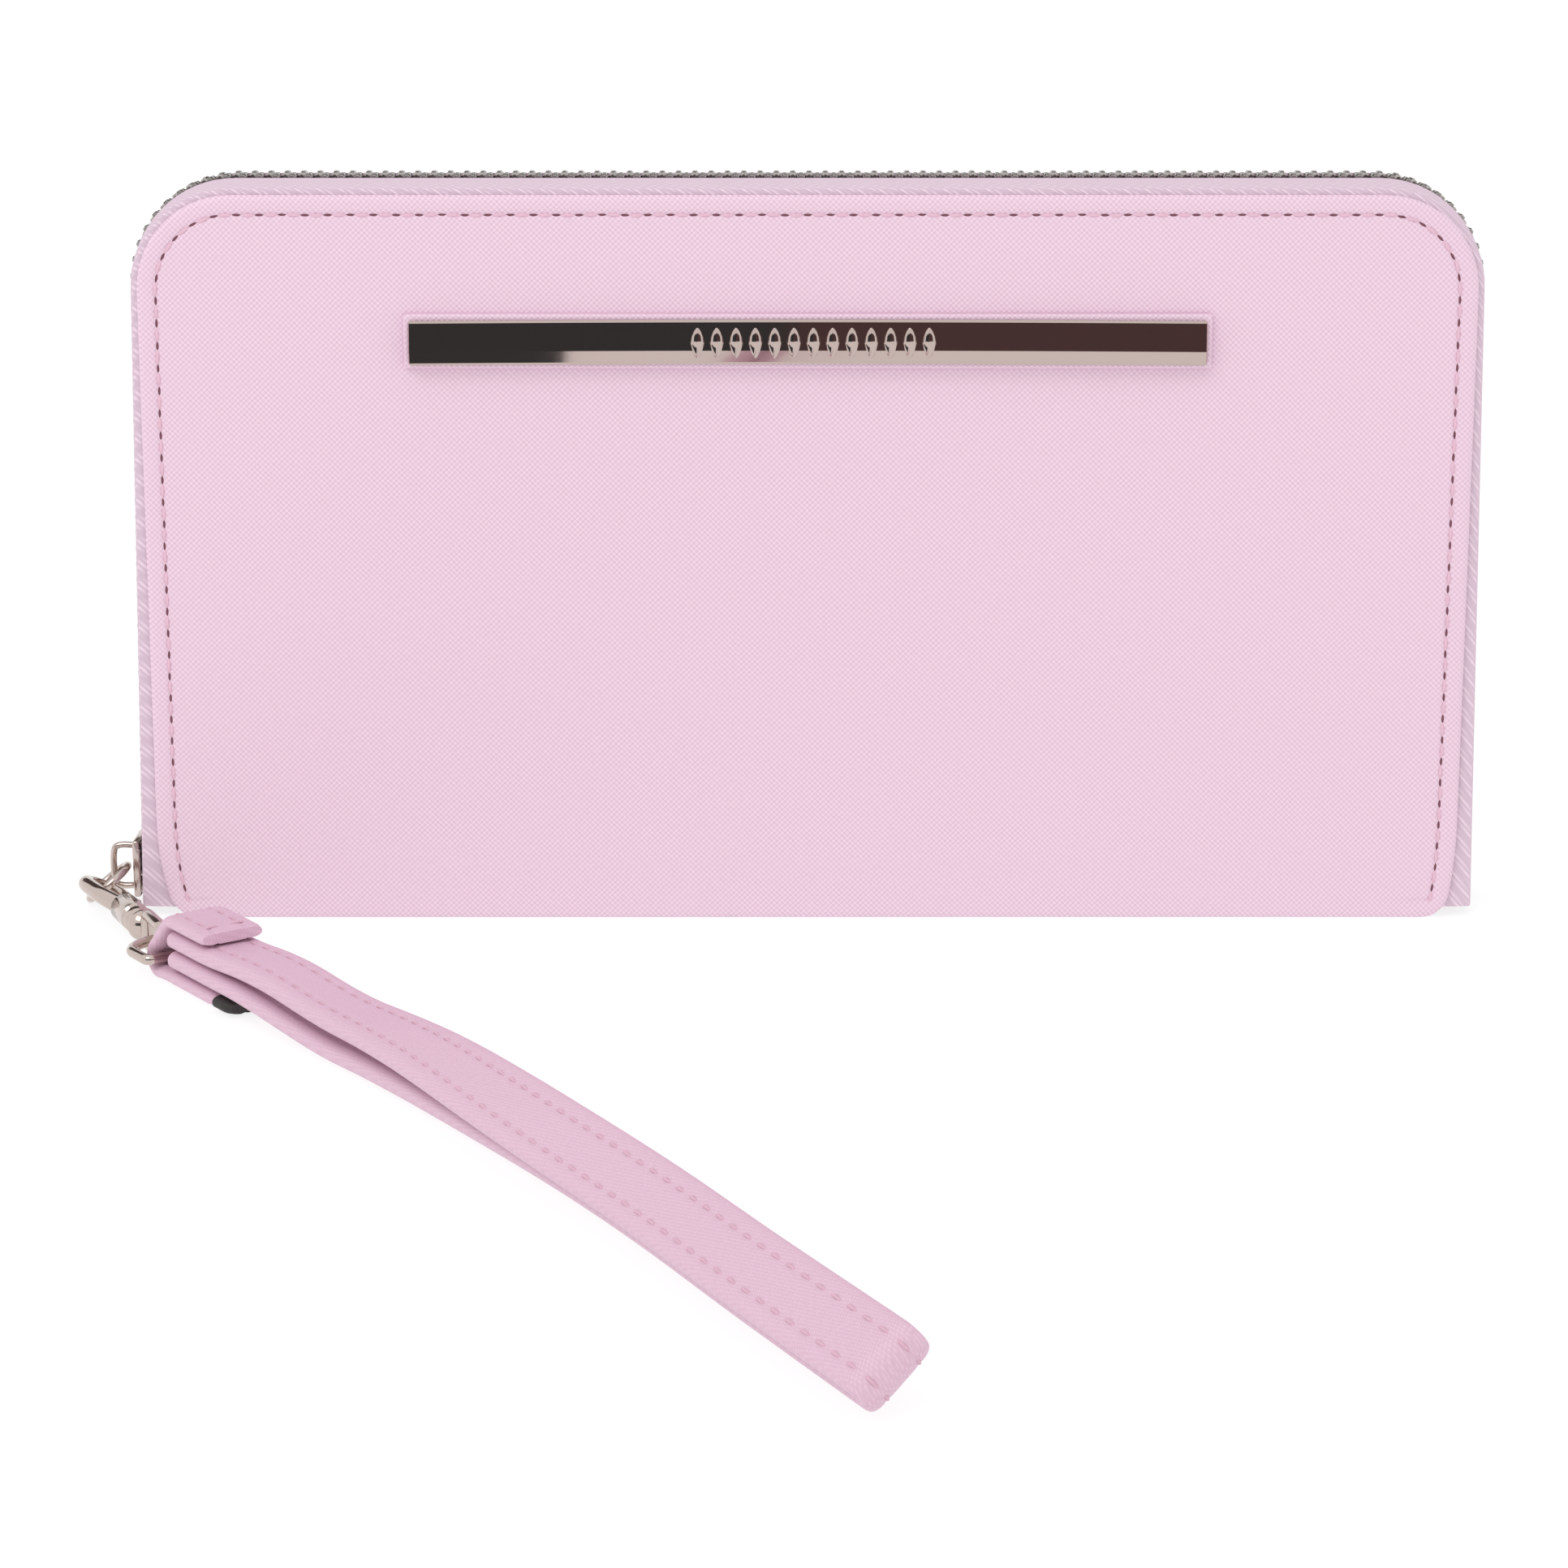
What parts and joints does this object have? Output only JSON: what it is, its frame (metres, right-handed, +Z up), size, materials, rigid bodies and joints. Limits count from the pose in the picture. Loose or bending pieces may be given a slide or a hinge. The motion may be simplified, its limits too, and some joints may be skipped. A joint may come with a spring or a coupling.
{
  "type": "wristlet wallet",
  "caption": "Zip-around continental wallet with card pockets, a zipped coin pocket and a padded wrist strap on a swivel clip.",
  "frame": {"origin": "centre of the flat underside of the spine, which the wallet stands on", "axes": "+Z up, the front cover faces -Y, +X to the right seen from the front"},
  "size_m": [0.2127, 0.2035, 0.1112],
  "materials": {
    "leather_saffiano": "pale pink cross-hatched coated leather, satin",
    "leather_strap": "pale pink fine-grained leather, matt",
    "pocket_leather": "smooth pale pink leather, matt",
    "lining_fabric": "woven lining cloth",
    "zip_tape": "twill zip tape",
    "zip_teeth": "nickel-plated zip teeth",
    "nickel": "warm polished nickel",
    "polished_bar": "mirror-polished nickel",
    "greyboard": "greyboard stiffener",
    "edge_paint": "black dipped end, satin"
  },
  "bodies": {
    "front_half": {"front_cover_skin": "leather_saffiano", "front_cover_board": "greyboard", "front_lining": "lining_fabric", "front_card_pocket_1": "pocket_leather", "front_card_pocket_2": "pocket_leather", "front_card_pocket_3": "pocket_leather", "front_zip_tape": "zip_tape", "front_zip_chain": "zip_teeth", "spine_cover": "leather_saffiano", "spine_stiffener": "greyboard", "gusset_left": "lining_fabric", "gusset_right": "lining_fabric", "zip_stop_left": "nickel", "zip_stop_right": "nickel", "name_bar": "polished_bar", "name_bar_base": "leather_saffiano"},
    "back_half": {"back_cover_skin": "leather_saffiano", "back_cover_board": "greyboard", "back_lining": "lining_fabric", "back_card_pocket_1": "pocket_leather", "back_card_pocket_2": "pocket_leather", "back_card_pocket_3": "pocket_leather", "back_zip_tape": "zip_tape", "back_zip_chain": "zip_teeth"},
    "coin_pocket": {"coin_pocket_front": "lining_fabric", "coin_pocket_back": "lining_fabric", "coin_zip_chain": "zip_teeth"},
    "coin_slider": {"coin_slider": "nickel"},
    "coin_pull": {"coin_pull": "nickel"},
    "slider": {"slider_body": "nickel", "slider_bridge": "nickel"},
    "ring": {"pull_ring": "nickel"},
    "claw": {"claw_body": "nickel"},
    "gate": {"claw_gate": "nickel"},
    "swivel": {"swivel_eye": "nickel"},
    "d_ring": {"d_ring": "nickel"},
    "strap": {"wrist_strap": "leather_strap", "strap_anchor_tab": "leather_strap", "strap_end_cap": "edge_paint"}
  },
  "joints": [
    {"name": "cover_open", "type": "hinge", "parent": "front_half", "child": "back_half", "pos_m": [0, 0.011, 0], "axis": [-1, 0, 0], "range_deg": [0, 50], "deforming": ["gusset_left", "gusset_right"]},
    {"name": "coin_pocket_tilt", "type": "hinge", "parent": "front_half", "child": "coin_pocket", "pos_m": [0, 0, 0.0033], "axis": [-1, 0, 0], "range_deg": [0, 25]},
    {"name": "coin_zip_slide", "type": "slide", "parent": "coin_pocket", "child": "coin_slider", "axis": [1, 0, 0], "range_m": [0, 0.14]},
    {"name": "coin_pull_swing", "type": "hinge", "parent": "coin_slider", "child": "coin_pull", "pos_m": [-0.0766, 0, 0.0915], "axis": [0, -1, 0], "range_deg": [0, 80]},
    {"name": "zip_slide", "type": "slide", "parent": "front_half", "child": "slider", "axis": [0.0235, 0, 0.9997], "range_m": [0, 0.075]},
    {"name": "ring_swing", "type": "hinge", "parent": "slider", "child": "ring", "pos_m": [-0.1049, 0, 0.0051], "axis": [0, 1, 0], "range_deg": [0, 15]},
    {"name": "claw_swing", "type": "hinge", "parent": "ring", "child": "claw", "pos_m": [-0.10719, -0.00616, 0.00319], "axis": [0, 0, 1], "range_deg": [-12, 8]},
    {"name": "claw_gate_open", "type": "hinge", "parent": "claw", "child": "gate", "pos_m": [-0.10104, -0.01318, 0.00205], "axis": [0.3798, 0.1853, 0.9063], "range_deg": [0, 25], "stiffness_Nm_per_rad": 0.0005, "springref_deg": -17.19},
    {"name": "swivel_spin", "type": "hinge", "parent": "claw", "child": "swivel", "pos_m": [-0.09864, -0.02369, 0.00319], "axis": [-0.4384, 0.8988, 0], "continuous": true},
    {"name": "d_ring_tilt", "type": "hinge", "parent": "swivel", "child": "d_ring", "pos_m": [-0.09482, -0.03151, 0.00319], "axis": [-0.809, -0.5878, 0], "range_deg": [0, 45]},
    {"name": "strap_swing", "type": "hinge", "parent": "d_ring", "child": "strap", "pos_m": [-0.09001, -0.03814, 0.00319], "axis": [-0.809, -0.5878, 0], "range_deg": [0, 30]}
  ],
  "couplings": [
    {"joint": "coin_pocket_tilt", "follows": "cover_open", "ratio": 0.5}
  ]
}
